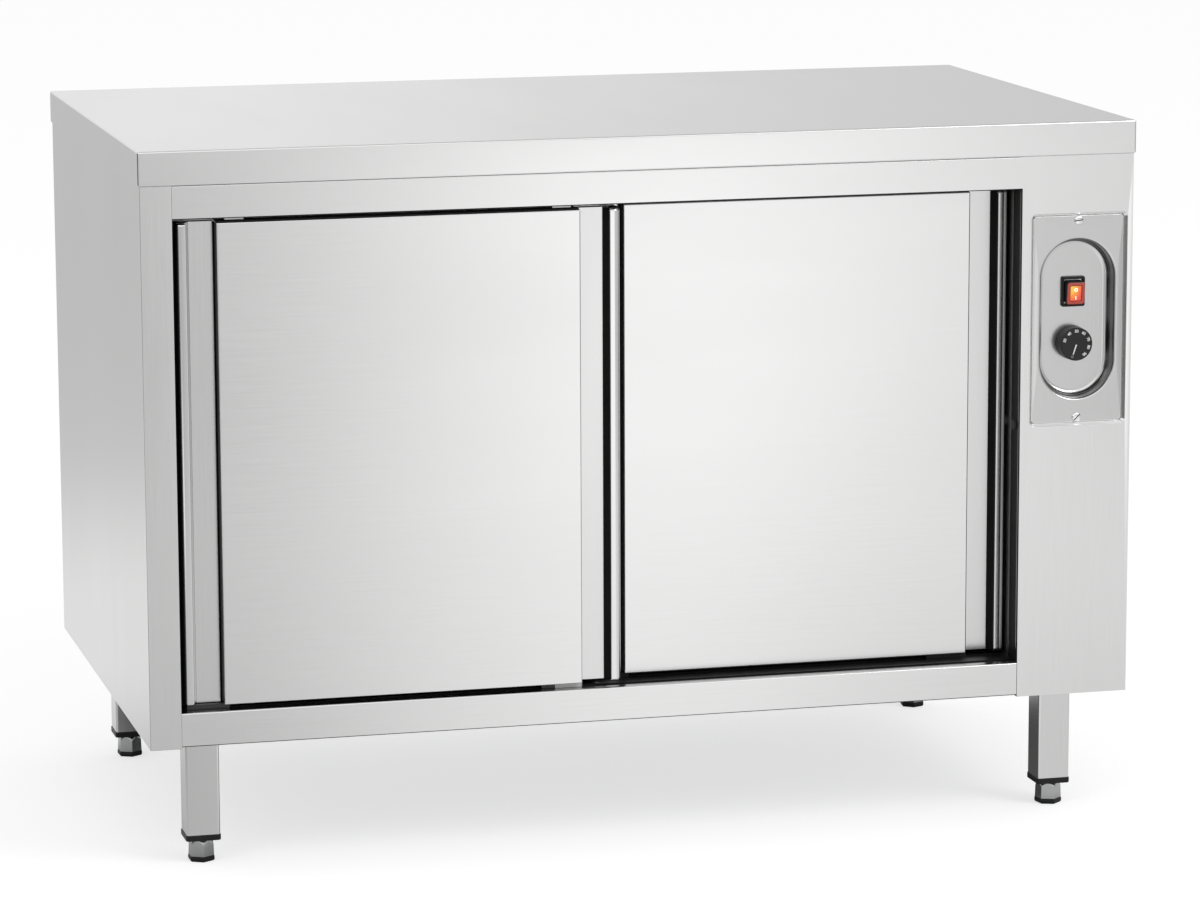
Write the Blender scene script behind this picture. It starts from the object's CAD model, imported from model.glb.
import math
import bmesh
import bpy
from mathutils import Matrix, Vector


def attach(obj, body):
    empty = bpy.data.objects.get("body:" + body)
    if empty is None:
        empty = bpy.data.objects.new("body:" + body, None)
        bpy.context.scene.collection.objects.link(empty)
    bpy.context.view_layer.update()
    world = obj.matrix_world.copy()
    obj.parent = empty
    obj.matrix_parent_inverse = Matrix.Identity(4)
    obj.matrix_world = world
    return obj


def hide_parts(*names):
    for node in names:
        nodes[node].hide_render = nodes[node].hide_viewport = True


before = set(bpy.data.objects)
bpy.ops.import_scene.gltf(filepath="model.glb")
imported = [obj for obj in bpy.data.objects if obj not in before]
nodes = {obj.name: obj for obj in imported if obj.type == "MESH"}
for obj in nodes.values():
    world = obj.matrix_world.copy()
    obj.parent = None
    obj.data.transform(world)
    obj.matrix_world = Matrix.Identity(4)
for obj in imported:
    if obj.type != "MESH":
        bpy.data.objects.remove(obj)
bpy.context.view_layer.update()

scene = bpy.context.scene
print("frame loaded:", len(nodes), "nodes")

# sizes shared with the frame, in metres
body = {"front": -0.348, "back": 0.348, "right": 0.598, "bottom": 0.154, "top": 0.81, "sheet": 0.0012,
        "openLeft": -0.561, "openRight": 0.4585, "foldDepth": 0.003, "foldReach": 0.004}


def addObject(name, data):
    obj = bpy.data.objects.new(name, data)
    scene.collection.objects.link(obj)
    return obj


# ---- camera ----

cameraSetup = {"place": (-1.4459, -5.7510, 1.4814), "yaw": 14.381, "pitch": -10.229, "roll": -0.204,
               "lens": 145.18, "sensor": 36, "farthest": 80}


def makeCamera(setup):
    data = bpy.data.cameras.new("photoCamera")
    data.lens = setup["lens"]
    data.sensor_width = setup["sensor"]
    data.clip_end = setup["farthest"]
    cam = addObject("photoCamera", data)
    yaw, pitch, roll = (math.radians(setup[k]) for k in ("yaw", "pitch", "roll"))
    ahead = Vector((math.sin(yaw) * math.cos(pitch), math.cos(yaw) * math.cos(pitch), math.sin(pitch)))
    side = Vector((math.cos(yaw), -math.sin(yaw), 0))
    up = side.cross(ahead)
    right = math.cos(roll) * side + math.sin(roll) * up
    top = math.cos(roll) * up - math.sin(roll) * side
    turn = Matrix((right, top, -ahead)).transposed().to_4x4()
    cam.matrix_world = Matrix.Translation(setup["place"]) @ turn
    scene.camera = cam


makeCamera(cameraSetup)
scene.view_settings.view_transform = "Standard"


# ---- material helpers ----

def startMaterial(name):
    mat = bpy.data.materials.new(name)
    mat.use_nodes = True
    tree = mat.node_tree
    shader = tree.nodes["Principled BSDF"]
    return mat, tree, shader


def addNode(tree, kind, links=None, **settings):
    # links: input name or number -> output socket, or a plain value
    node = tree.nodes.new(kind)
    for key, value in settings.items():
        setattr(node, key, value)
    for key, value in (links or {}).items():
        socket = node.inputs[key]
        if isinstance(value, bpy.types.NodeSocket):
            tree.links.new(value, socket)
        else:
            socket.default_value = value
    return node


def objectCoords(tree, scale, turn=(0, 0, 0), move=(0, 0, 0)):
    coord = addNode(tree, "ShaderNodeTexCoord")
    mapping = addNode(tree, "ShaderNodeMapping", {"Vector": coord.outputs["Object"], "Scale": scale,
                                                  "Rotation": turn, "Location": move})
    return mapping.outputs[0]


def noise(tree, coords, scale=1.0, detail=3.0, rough=0.55, distortion=0.0):
    return addNode(tree, "ShaderNodeTexNoise", {"Vector": coords, "Scale": scale, "Detail": detail,
                                                "Roughness": rough, "Distortion": distortion}).outputs[0]


def spread(tree, value, low, high, fromLow=0.0, fromHigh=1.0, smooth=False):
    node = addNode(tree, "ShaderNodeMapRange", {"Value": value, "From Min": fromLow, "From Max": fromHigh,
                                                "To Min": low, "To Max": high})
    if smooth:
        node.interpolation_type = "SMOOTHSTEP"
    return node.outputs[0]


def sums(tree, how, a, b):
    return addNode(tree, "ShaderNodeMath", {0: a, 1: b}, operation=how).outputs[0]


def plus(tree, a, b):
    return sums(tree, "ADD", a, b)


def minus(tree, a, b):
    return sums(tree, "SUBTRACT", a, b)


def times(tree, a, b):
    return sums(tree, "MULTIPLY", a, b)


def blend(tree, share, first, second):
    return plus(tree, times(tree, first, share), times(tree, second, minus(tree, 1, share)))


def tint(tree, factor, first, second):
    node = addNode(tree, "ShaderNodeMix", data_type="RGBA")
    tree.links.new(factor, node.inputs["Factor"])
    node.inputs["A"].default_value = (*first, 1)
    node.inputs["B"].default_value = (*second, 1)
    return node.outputs["Result"]


def addBump(tree, shader, height, strength, distance):
    bump = addNode(tree, "ShaderNodeBump", {"Height": height, "Strength": strength, "Distance": distance})
    tree.links.new(bump.outputs[0], shader.inputs["Normal"])


def dress(tree, shader, color, roughness):
    tree.links.new(color, shader.inputs["Base Color"])
    tree.links.new(roughness, shader.inputs["Roughness"])


def setStops(ramp, stops):
    # (place, color) pairs from the first end of the ramp to the last
    elements = ramp.color_ramp.elements
    for k, (place, color) in enumerate(stops):
        element = elements[0] if k == 0 else elements[-1] if k == len(stops) - 1 else elements.new(place)
        element.position = place
        element.color = (*color, 1)


# ---- steel finishes ----

grainScale = {"x": (16, 2400, 2400), "y": (2400, 16, 2400), "z": (2400, 2400, 16)}
smearScale = {"x": (1.2, 5, 5), "y": (5, 1.2, 5), "z": (5, 5, 1.2)}
coarseShare, coarseScale = 0.22, 0.35
toneSpread = 0.035

steelLooks = {
    "topSteel": {"grain": "y", "tone": 0.66, "rough": 0.2, "depth": 0.05},
    "fasciaSteel": {"grain": "x", "tone": 0.66, "rough": 0.2, "depth": 0.05},
    "edgeSteel": {"grain": "z", "tone": 0.66, "rough": 0.2, "depth": 0.05},
    "panelSteel": {"grain": "z", "tone": 0.65, "rough": 0.2, "depth": 0.05},
    "railSteel": {"grain": "x", "tone": 0.65, "rough": 0.2, "depth": 0.05},
    "doorSteel": {"grain": "x", "tone": 0.66, "rough": 0.2, "depth": 0.05},
    "stripSteel": {"grain": "z", "tone": 0.6, "rough": 0.2, "depth": 0.05},
    "beadSteel": {"grain": "z", "tone": 0.64, "rough": 0.16, "depth": 0.03},
    "plateSteel": {"grain": "z", "tone": 0.525, "rough": 0.22, "depth": 0.03},
    "drawnSteel": {"grain": "z", "tone": 0.2, "rough": 0.22, "depth": 0.06},
    "brightSteel": {"grain": "z", "tone": 0.93, "rough": 0.3, "depth": 0.05},
    "lineSteel": {"grain": "z", "tone": 0.12, "rough": 0.3, "depth": 0.05},
    "legSteel": {"grain": "z", "tone": 0.6, "rough": 0.2, "depth": 0.06},
    "linerSteel": {"grain": "y", "tone": 0.58, "rough": 0.32, "depth": 0.05},
}


def makeSteel(name, look):
    mat, tree, shader = startMaterial(name)
    tone, grain = look["tone"], grainScale[look["grain"]]
    fine = noise(tree, objectCoords(tree, grain), detail=4, rough=0.6)
    wide = objectCoords(tree, [side * coarseScale for side in grain], move=(3, 5, 7))
    coarse = noise(tree, wide, detail=2)
    handled = objectCoords(tree, smearScale[look["grain"]], move=(1.3, 0.4, 2.2))
    smear = noise(tree, handled, detail=3, rough=0.6)
    lines = plus(tree, times(tree, fine, 1 - coarseShare), times(tree, coarse, coarseShare))
    dark, light = tone * (1 - toneSpread), min(1, tone * (1 + toneSpread))
    color = tint(tree, spread(tree, lines, 0, 1, 0.3, 0.7), (dark, dark, dark * 0.996),
                 (light, light, light * 0.997))
    wear = plus(tree, spread(tree, lines, -0.03, 0.03, 0.3, 0.7),
                spread(tree, smear, -0.012, 0.02, 0.35, 0.65))
    dress(tree, shader, color, plus(tree, wear, look["rough"]))
    shader.inputs["Metallic"].default_value = 1
    addBump(tree, shader, lines, look["depth"], 0.0002)
    return mat


finish = {name: makeSteel(name, look) for name, look in steelLooks.items()}


# ---- other metals and plastics ----

def makeGalvanized(name, tone):
    mat, tree, shader = startMaterial(name)
    flakes = addNode(tree, "ShaderNodeTexVoronoi", {"Vector": objectCoords(tree, (1, 1, 1)), "Scale": 130.0})
    cloud = noise(tree, objectCoords(tree, (20, 20, 20)), detail=4)
    grey = addNode(tree, "ShaderNodeSeparateColor", {0: flakes.outputs["Color"]}).outputs[0]
    mixed = plus(tree, times(tree, grey, 0.6), times(tree, cloud, 0.4))
    dark, light = [[tone * share for share in shares] for shares in ((0.86, 0.88, 0.9), (1.12, 1.13, 1.15))]
    dress(tree, shader, tint(tree, mixed, dark, light), spread(tree, mixed, 0.34, 0.5))
    shader.inputs["Metallic"].default_value = 1
    addBump(tree, shader, cloud, 0.08, 0.0004)
    return mat


def makeMetal(name, first, second, rough, scale=60.0, depth=0.05):
    mat, tree, shader = startMaterial(name)
    cloud = noise(tree, objectCoords(tree, (scale,) * 3), detail=5, rough=0.62)
    marks = noise(tree, objectCoords(tree, (scale * 9,) * 3), detail=2)
    dress(tree, shader, tint(tree, spread(tree, cloud, 0, 1, 0.35, 0.65), first, second),
          plus(tree, spread(tree, marks, -0.05, 0.06, 0.3, 0.7), rough))
    shader.inputs["Metallic"].default_value = 1
    addBump(tree, shader, marks, depth, 0.0003)
    return mat


def makePlastic(name, first, second, rough, grain=900.0, depth=0.12, coat=0.0, shine=0.5):
    mat, tree, shader = startMaterial(name)
    cloud = noise(tree, objectCoords(tree, (25, 25, 25)), detail=3)
    skin = noise(tree, objectCoords(tree, (grain,) * 3), detail=2, rough=0.5)
    dress(tree, shader, tint(tree, spread(tree, cloud, 0, 1, 0.3, 0.7), first, second),
          plus(tree, spread(tree, skin, -0.06, 0.06, 0.3, 0.7), rough))
    shader.inputs["Coat Weight"].default_value = coat
    shader.inputs["Specular IOR Level"].default_value = shine
    addBump(tree, shader, skin, depth, 0.0002)
    return mat


def makeTabNylon(name, fromX, toX):
    # dark nylon with a pale clip between two places along the door
    mat, tree, shader = startMaterial(name)
    across = addNode(tree, "ShaderNodeSeparateXYZ", {0: objectCoords(tree, (1, 1, 1))}).outputs[0]
    inside = times(tree, sums(tree, "GREATER_THAN", across, fromX), sums(tree, "LESS_THAN", across, toX))
    cloud = noise(tree, objectCoords(tree, (60, 60, 60)), detail=3)
    dress(tree, shader, tint(tree, inside, (0.016, 0.016, 0.017), (0.6, 0.6, 0.59)),
          spread(tree, cloud, 0.32, 0.46))
    addBump(tree, shader, cloud, 0.1, 0.0003)
    return mat


def makeWool(name, first=(0.42, 0.35, 0.18), second=(0.66, 0.57, 0.34)):
    mat, tree, shader = startMaterial(name)
    fibres = noise(tree, objectCoords(tree, (60, 60, 400)), detail=5, rough=0.7, distortion=1.5)
    tree.links.new(tint(tree, fibres, first, second), shader.inputs["Base Color"])
    shader.inputs["Roughness"].default_value = 0.95
    addBump(tree, shader, fibres, 0.6, 0.001)
    return mat


glow = {"hotSpot": (0.5263, 0.6486), "reach": (0.0125, 0.0175), "strength": 0.75, "glass": (0.25, 0.02, 0.01),
        "stops": [(0.05, (0.8, 0.07, 0.05)), (0.4, (0.98, 0.3, 0.05)), (0.8, (1.0, 0.72, 0.1))]}


def makeGlow(name, look):
    # lit window: brightest at its upper left, as the lamp sits behind that corner
    mat, tree, shader = startMaterial(name)
    (x, z), (rx, rz) = look["hotSpot"], look["reach"]
    moved = objectCoords(tree, (1 / rx, 0, 1 / rz), move=(-x / rx, 0, -z / rz))
    ball = addNode(tree, "ShaderNodeTexGradient", {"Vector": moved}, gradient_type="SPHERICAL").outputs["Fac"]
    ribs = noise(tree, objectCoords(tree, (700, 200, 500)), detail=2)
    level = plus(tree, ball, spread(tree, ribs, -0.14, 0.14, 0.3, 0.7))
    ramp = addNode(tree, "ShaderNodeValToRGB", {0: level})
    setStops(ramp, look["stops"])
    shader.inputs["Base Color"].default_value = (*look["glass"], 1)
    tree.links.new(ramp.outputs[0], shader.inputs["Emission Color"])
    shader.inputs["Emission Strength"].default_value = look["strength"]
    shader.inputs["Roughness"].default_value = 0.12
    return mat


def makeGlowMark(name, strength):
    # the white marks let the lamp shine through
    mat, tree, shader = startMaterial(name)
    cloud = noise(tree, objectCoords(tree, (900, 900, 900)), detail=2)
    color = tint(tree, cloud, (0.95, 0.88, 0.8), (1.0, 0.97, 0.93))
    tree.links.new(color, shader.inputs["Base Color"])
    tree.links.new(color, shader.inputs["Emission Color"])
    shader.inputs["Emission Strength"].default_value = strength
    return mat


finish.update({
    "galvanized": makeGalvanized("galvanized", 0.52),
    "screwSteel": makeMetal("screwSteel", (0.68, 0.68, 0.68), (0.8, 0.8, 0.8), 0.16, 120),
    "footMetal": makeMetal("footMetal", (0.36, 0.37, 0.37), (0.42, 0.43, 0.43), 0.17, 22, 0.02),
    "aluminium": makeMetal("aluminium", (0.56, 0.57, 0.58), (0.68, 0.69, 0.7), 0.36, 40),
    "elementSteel": makeMetal("elementSteel", (0.22, 0.19, 0.17), (0.42, 0.36, 0.3), 0.42, 30),
    "copper": makeMetal("copper", (0.5, 0.24, 0.13), (0.68, 0.36, 0.22), 0.3, 60),
    "motorPaint": makePlastic("motorPaint", (0.03, 0.03, 0.034), (0.06, 0.06, 0.066), 0.42, 300, 0.2),
    "blackPlastic": makePlastic("blackPlastic", (0.007, 0.007, 0.008), (0.013, 0.013, 0.014), 0.42,
                                shine=0.22),
    "knobPlastic": makePlastic("knobPlastic", (0.011, 0.011, 0.012), (0.017, 0.017, 0.018), 0.46, 1200, 0.2,
                               shine=0.28),
    "shadeSteel": makePlastic("shadeSteel", (0.005, 0.005, 0.005), (0.009, 0.009, 0.009), 0.5, shine=0.12),
    "tabNylon": makeTabNylon("tabNylon", -0.1125, -0.08),
    "printWhite": makePlastic("printWhite", (0.74, 0.74, 0.72), (0.86, 0.86, 0.84), 0.5, 2000, 0.05),
    "printGrey": makePlastic("printGrey", (0.2, 0.2, 0.2), (0.3, 0.3, 0.3), 0.5, 2000, 0.05),
    "blackNylon": makePlastic("blackNylon", (0.01, 0.01, 0.011), (0.018, 0.018, 0.019), 0.4, shine=0.3),
    "whitePlastic": makePlastic("whitePlastic", (0.7, 0.69, 0.65), (0.8, 0.79, 0.75), 0.34),
    "phenolic": makePlastic("phenolic", (0.4, 0.31, 0.17), (0.58, 0.46, 0.28), 0.5, 400, 0.2),
    "redFrame": makePlastic("redFrame", (0.44, 0.05, 0.032), (0.54, 0.075, 0.048), 0.3, 700, 0.05, 0.2),
    "redLine": makePlastic("redLine", (0.12, 0.02, 0.015), (0.16, 0.03, 0.02), 0.4),
    "wire": makePlastic("wire", (0.07, 0.075, 0.09), (0.12, 0.13, 0.15), 0.45),
    "rubber": makePlastic("rubber", (0.014, 0.014, 0.014), (0.03, 0.03, 0.03), 0.7, 500, 0.3),
    "wool": makeWool("wool"),
    "darkWool": makeWool("darkWool", (0.012, 0.012, 0.012), (0.03, 0.03, 0.03)),
    "glowLens": makeGlow("glowLens", glow),
    "glowMark": makeGlowMark("glowMark", 0.8),
})
print("finishes made:", len(finish))


# ---- mesh helpers ----

def weighNormals(obj):
    mod = obj.modifiers.new("faceNormals", "WEIGHTED_NORMAL")
    mod.keep_sharp = True
    mod.mode = "FACE_AREA_WITH_ANGLE"


def newPiece(name, mesh, bodyName, replaced=(), sharpAngle=32, weighted=False):
    obj = addObject(name, mesh)
    for poly in mesh.polygons:
        poly.use_smooth = True
    mesh.set_sharp_from_angle(angle=math.radians(sharpAngle))
    if weighted:
        weighNormals(obj)
    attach(obj, bodyName)
    if replaced:
        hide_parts(*replaced)
    return obj


def meshFrom(bm, name, *materials):
    mesh = bpy.data.meshes.new(name)
    bmesh.ops.remove_doubles(bm, verts=bm.verts, dist=1e-6)
    bmesh.ops.recalc_face_normals(bm, faces=bm.faces)
    bm.to_mesh(mesh)
    bm.free()
    for material in materials:
        mesh.materials.append(finish[material])
    return mesh


def builtMesh(obj):
    # the plain mesh that an object's modifiers make
    graph = bpy.context.evaluated_depsgraph_get()
    graph.update()
    return bpy.data.meshes.new_from_object(obj.evaluated_get(graph), depsgraph=graph)


def mergedCopy(nodeName):
    bm = bmesh.new()
    bm.from_mesh(nodes[nodeName].data)
    bmesh.ops.remove_doubles(bm, verts=bm.verts, dist=2e-6)
    bmesh.ops.dissolve_limit(bm, angle_limit=math.radians(0.6), verts=bm.verts, edges=bm.edges)
    for face in bm.faces:
        face.material_index = 0
    return bm


def faceWidth(face):
    return 2 * face.calc_area() / face.calc_perimeter()


def foldEdges(bm, least=0.0028, sharp=25):
    # edges where two broad faces meet; the thin rims of the sheet stay as they are
    outer, inner = [], []
    for edge in bm.edges:
        if len(edge.link_faces) != 2 or min(faceWidth(f) for f in edge.link_faces) < least:
            continue
        angle = math.degrees(edge.calc_face_angle_signed(0))
        if angle > sharp:
            outer.append(edge)
        elif angle < -sharp:
            inner.append(edge)
    return outer, inner


def roundEdges(bm, edges, radius, segments):
    edges = [e for e in edges if e.is_valid]
    if edges:
        bmesh.ops.bevel(bm, geom=edges, offset=radius, offset_type="OFFSET", segments=segments, profile=0.5,
                        affect="EDGES", clamp_overlap=True)


def loft(bm, rings, capStart=False, capEnd=False):
    made = [[bm.verts.new(p) for p in ring] for ring in rings]
    for a, b in zip(made, made[1:]):
        for i in range(len(a)):
            j = (i + 1) % len(a)
            bm.faces.new((a[i], a[j], b[j], b[i]))
    if capStart:
        bm.faces.new(made[0][::-1])
    if capEnd:
        bm.faces.new(made[-1])


def anglesRound(count):
    return [2 * math.pi * i / count for i in range(count)]


def quarterTurn(steps):
    return [math.pi / 2 * k / steps for k in range(steps + 1)]


def roundRect(width, height, radius, perCorner=10):
    points = []
    for k, (sx, sy) in enumerate(((1, 1), (-1, 1), (-1, -1), (1, -1))):
        for i in range(perCorner + 1):
            a = math.pi / 2 * (k + i / perCorner)
            points.append((sx * (width / 2 - radius) + radius * math.cos(a),
                           sy * (height / 2 - radius) + radius * math.sin(a)))
    return points


def lathe(bm, profile, centre, axis="y", count=64):
    # profile: (radius, distance along the axis); a radius of 0 closes the end
    rings = []
    for radius, along in profile:
        ring = []
        for a in anglesRound(count):
            c, s = radius * math.cos(a), radius * math.sin(a)
            point = (c, along, s) if axis == "y" else (along, c, s)
            ring.append(Vector(point) + Vector(centre))
        rings.append(ring)
    loft(bm, rings)


def addBox(bm, low, high):
    corners = ((low[0], low[1]), (high[0], low[1]), (high[0], high[1]), (low[0], high[1]))
    loft(bm, [[(x, y, z) for x, y in corners] for z in (low[2], high[2])], capStart=True, capEnd=True)


def paintFaces(mesh, test, material="shadeSteel"):
    # faces that pass the test get the finish; by default that of deep shade between the profiles
    index = len(mesh.materials)
    mesh.materials.append(finish[material])
    for poly in mesh.polygons:
        if test(poly.center, poly.normal):
            poly.material_index = index


# ---- node trees for what repeats or follows a path ----

def startTree(name, inputs):
    tree = bpy.data.node_groups.new(name, "GeometryNodeTree")
    tree.interface.new_socket("Geometry", in_out="INPUT", socket_type="NodeSocketGeometry")
    for label, kind in inputs:
        tree.interface.new_socket(label, in_out="INPUT", socket_type="NodeSocket" + kind)
    tree.interface.new_socket("Geometry", in_out="OUTPUT", socket_type="NodeSocketGeometry")
    return tree, tree.nodes.new("NodeGroupInput").outputs, tree.nodes.new("NodeGroupOutput")


def endTree(tree, geometry, material, output):
    real = addNode(tree, "GeometryNodeRealizeInstances", {0: geometry})
    painted = addNode(tree, "GeometryNodeSetMaterial", {"Geometry": real.outputs[0], "Material": material})
    tree.links.new(painted.outputs[0], output.inputs[0])


def makeFoldTree():
    # a bent strip: foldRadius rounds the outline's corners, then the outline is drawn out along Run
    inputs = [("Run", "Vector"), ("Segments", "Int"), ("Material", "Material")]
    tree, given, output = startTree("foldedStrip", inputs)
    radius = addNode(tree, "GeometryNodeInputNamedAttribute", {"Name": "foldRadius"}, data_type="FLOAT")
    curve = addNode(tree, "GeometryNodeMeshToCurve", {0: given["Geometry"]})
    bent = addNode(tree, "GeometryNodeFilletCurve",
                   {"Curve": curve.outputs[0], "Count": given["Segments"], "Radius": radius.outputs[0],
                    "Limit Radius": True}, mode="POLY")
    wire = addNode(tree, "GeometryNodeCurveToMesh", {"Curve": bent.outputs[0]})
    drawn = addNode(tree, "GeometryNodeExtrudeMesh", {"Mesh": wire.outputs[0], "Offset": given["Run"],
                                                      "Offset Scale": 1.0}, mode="EDGES")
    endTree(tree, drawn.outputs[0], given["Material"], output)
    return tree


def makeFastenerTree():
    # one head on every point, each turned about its own axis by chance
    inputs = [("Head", "Object"), ("Axis", "Vector"), ("Most Turn", "Float"), ("Seed", "Int"),
              ("Material", "Material")]
    tree, given, output = startTree("fastenerRow", inputs)
    head = addNode(tree, "GeometryNodeObjectInfo", {"Object": given["Head"], "As Instance": True})
    chance = addNode(tree, "FunctionNodeRandomValue",
                     {"Min": 0.0, "Max": given["Most Turn"], "Seed": given["Seed"]}, data_type="FLOAT")
    turn = addNode(tree, "ShaderNodeVectorMath", {0: given["Axis"]}, operation="SCALE")
    tree.links.new([s for s in chance.outputs if s.enabled][0], turn.inputs["Scale"])
    put = addNode(tree, "GeometryNodeInstanceOnPoints", {"Points": given["Geometry"],
                                                         "Instance": head.outputs["Geometry"],
                                                         "Rotation": turn.outputs[0]})
    endTree(tree, put.outputs[0], given["Material"], output)
    return tree


def makeRowTree():
    # the same shape, repeated at equal steps
    tree, given, output = startTree("equalRow", [("Shape", "Object"), ("Count", "Int"), ("Start", "Vector"),
                                                 ("Step", "Vector"), ("Material", "Material")])
    shape = addNode(tree, "GeometryNodeObjectInfo", {"Object": given["Shape"], "As Instance": True})
    line = addNode(tree, "GeometryNodeMeshLine", {"Count": given["Count"], "Start Location": given["Start"],
                                                  "Offset": given["Step"]})
    put = addNode(tree, "GeometryNodeInstanceOnPoints", {"Points": line.outputs[0],
                                                         "Instance": shape.outputs["Geometry"]})
    endTree(tree, put.outputs[0], given["Material"], output)
    return tree


def makePatternTree():
    # the same shape on every point of a square grid that lies within a radius; the grid stands in Y and Z
    inputs = [("Shape", "Object"), ("Across", "Int"), ("Pitch", "Float"), ("Reach", "Float"),
              ("Centre", "Vector"), ("Material", "Material")]
    tree, given, output = startTree("roundPattern", inputs)
    across = given["Across"]
    side = times(tree, minus(tree, across, 1.0), given["Pitch"])
    grid = addNode(tree, "GeometryNodeMeshGrid", {"Size X": side, "Size Y": side, "Vertices X": across,
                                                  "Vertices Y": across})
    place = addNode(tree, "GeometryNodeInputPosition")
    away = addNode(tree, "ShaderNodeVectorMath", {0: place.outputs[0]}, operation="LENGTH").outputs["Value"]
    past = sums(tree, "GREATER_THAN", away, given["Reach"])
    disc = addNode(tree, "GeometryNodeDeleteGeometry", {"Geometry": grid.outputs[0], "Selection": past})
    stood = addNode(tree, "GeometryNodeTransform",
                    {"Geometry": disc.outputs[0], "Translation": given["Centre"],
                     "Rotation": (0, math.pi / 2, 0)})
    shape = addNode(tree, "GeometryNodeObjectInfo", {"Object": given["Shape"], "As Instance": True})
    put = addNode(tree, "GeometryNodeInstanceOnPoints", {"Points": stood.outputs[0],
                                                         "Instance": shape.outputs["Geometry"]})
    endTree(tree, put.outputs[0], given["Material"], output)
    return tree


foldTree = makeFoldTree()
fastenerTree = makeFastenerTree()
rowTree = makeRowTree()
patternTree = makePatternTree()


def grow(name, baseMesh, tree, values, wall=0.0):
    # runs a node tree on a base mesh and gives the plain mesh it makes; wall thickens it both ways
    obj = addObject(name + "Base", baseMesh)
    mod = obj.modifiers.new("shape", "NODES")
    mod.node_group = tree
    for item in tree.interface.items_tree:
        if item.item_type == "SOCKET" and item.in_out == "INPUT" and item.name in values:
            mod[item.identifier] = values[item.name]
    if wall:
        thick = obj.modifiers.new("wall", "SOLIDIFY")
        thick.thickness = wall
        thick.offset = 0
        thick.use_even_offset = True
    mesh = builtMesh(obj)
    mesh.name = name
    bpy.data.objects.remove(obj)
    return mesh


def outlineMesh(name, points, radii):
    mesh = bpy.data.meshes.new(name)
    mesh.from_pydata([Vector(p) for p in points], [(i, i + 1) for i in range(len(points) - 1)], [])
    attribute = mesh.attributes.new("foldRadius", "FLOAT", "POINT")
    attribute.data.foreach_set("value", radii)
    return mesh


def pointMesh(name, points):
    mesh = bpy.data.meshes.new(name)
    mesh.from_pydata([Vector(p) for p in points], [], [])
    return mesh


def placeHeads(name, head, points, axis, mostTurn, seed):
    # a screw head on every point; the head itself is then taken away
    mesh = grow(name, pointMesh(name + "Points", points), fastenerTree,
                {"Head": head, "Axis": axis, "Most Turn": mostTurn, "Seed": seed,
                 "Material": finish["screwSteel"]})
    bpy.data.objects.remove(head)
    return mesh


def foldedStrip(name, points, radii, run, material, wall, segments=5):
    return grow(name, outlineMesh(name + "Outline", points, radii), foldTree,
                {"Run": run, "Segments": segments, "Material": finish[material]}, wall)


def joinMeshes(name, meshes):
    bm = bmesh.new()
    materials = []
    for mesh in meshes:
        start = len(bm.faces)
        bm.from_mesh(mesh)
        bm.faces.ensure_lookup_table()
        for face in bm.faces[start:]:
            material = mesh.materials[face.material_index]
            if material not in materials:
                materials.append(material)
            face.material_index = materials.index(material)
    joined = bpy.data.meshes.new(name)
    bm.to_mesh(joined)
    bm.free()
    for material in materials:
        joined.materials.append(material)
    return joined


# ---- worktop ----

worktop = {"foldRadius": 0.0022, "segments": 3}


def standingFold(c, n):
    # the middle of an upright front corner, which shows as a thin dark line
    return abs(n.x) > 0.4 and n.y < -0.4 and abs(n.z) < 0.3 and c.y < body["front"] + body["foldDepth"]


def makeWorktop(size):
    bm = mergedCopy("worktop")
    roundEdges(bm, foldEdges(bm)[0], size["foldRadius"], size["segments"])
    mesh = meshFrom(bm, "worktopSheet", "topSteel", "fasciaSteel", "edgeSteel")
    for poly in mesh.polygons:
        poly.material_index = 0 if abs(poly.normal.z) > 0.7 else 2 if abs(poly.normal.x) > 0.7 else 1
    paintFaces(mesh, standingFold, "lineSteel")
    newPiece("worktopSheet", mesh, "cabinet", ["worktop"], weighted=True)


makeWorktop(worktop)


# ---- body panels ----

panels = {"foldRadius": 0.0016, "innerRadius": 0.0004, "recessRadius": 0.0009, "segments": 3}


def turnsUnder(c, n):
    # the lower folds of the body, which face the dark under the cabinet
    return n.z < -0.45 and c.z < body["bottom"] + body["foldReach"]


def makePanel(node, name, material, extra=None, prepare=None, size=panels):
    bm = mergedCopy(node)
    outer, inner = foldEdges(bm)
    if extra:
        chosen = [e for e in bm.edges if e not in outer and extra(e)]
        roundEdges(bm, chosen, size["recessRadius"], 2)
    roundEdges(bm, outer, size["foldRadius"], size["segments"])
    roundEdges(bm, inner, size["innerRadius"], 1)
    if prepare:
        prepare(bm)
    mesh = meshFrom(bm, name, material)
    paintFaces(mesh, lambda c, n: standingFold(c, n) and abs(c.x) > body["right"] - body["foldReach"],
               "lineSteel")
    paintFaces(mesh, turnsUnder)
    return newPiece(name, mesh, "cabinet", [node], weighted=True)


recess = {"x": 0.53075, "z": 0.6125, "halfWidth": 0.0612, "halfHeight": 0.129, "depth": 0.0045,
          "innerWidth": 0.055, "innerHeight": 0.12}
touching = 1e-5


def onRecess(edge):
    # edges along the mouth and the foot of the pressed recess
    middle = (edge.verts[0].co + edge.verts[1].co) / 2
    aside, above = abs(middle.x - recess["x"]), abs(middle.z - recess["z"])
    inside = aside < recess["halfWidth"] and above < recess["halfHeight"]
    onRim = aside > recess["innerWidth"] or above > recess["innerHeight"]
    flat = max(abs(v.co.y - middle.y) for v in edge.verts) < touching
    depth = middle.y - body["front"]
    atFold = abs(depth) < touching or abs(depth - recess["depth"]) < touching
    wide = len(edge.link_faces) == 2 and edge.calc_face_angle(0) > math.radians(20)
    return inside and flat and wide and atFold and onRim


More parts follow.
